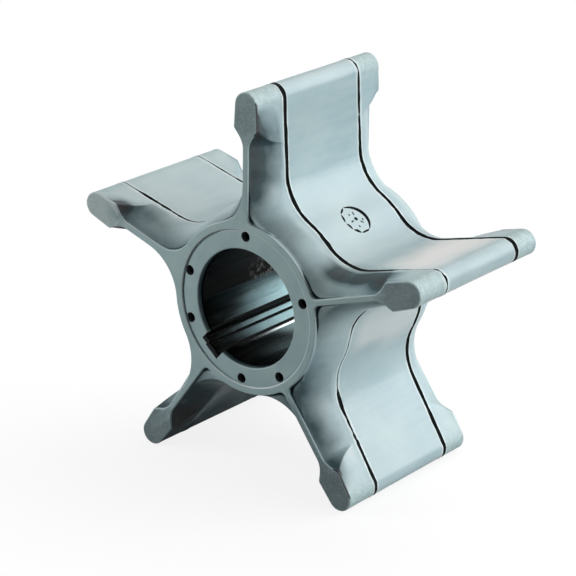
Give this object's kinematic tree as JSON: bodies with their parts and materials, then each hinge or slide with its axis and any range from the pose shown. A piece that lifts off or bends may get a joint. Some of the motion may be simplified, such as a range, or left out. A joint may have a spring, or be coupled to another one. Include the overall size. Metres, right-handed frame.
{
  "type": "pump impeller",
  "caption": "Flexible-vane rubber pump impeller bonded on a keyed metal bush, with rounded vane tips and scooped vane edges.",
  "frame": {"origin": "on the bore axis, halfway between the two end faces", "axes": "+Y along the bore, away from the end face the picture shows; +Z along the first vane; +X completes the right-handed frame"},
  "size_m": [0.0634, 0.0294, 0.0604],
  "materials": {
    "moulded_rubber": "semi-gloss moulded",
    "bush_metal": "dark, reamed"
  },
  "bodies": {
    "root": {"vane_body": "moulded_rubber", "hub_insert": "bush_metal"}
  },
  "joints": []
}
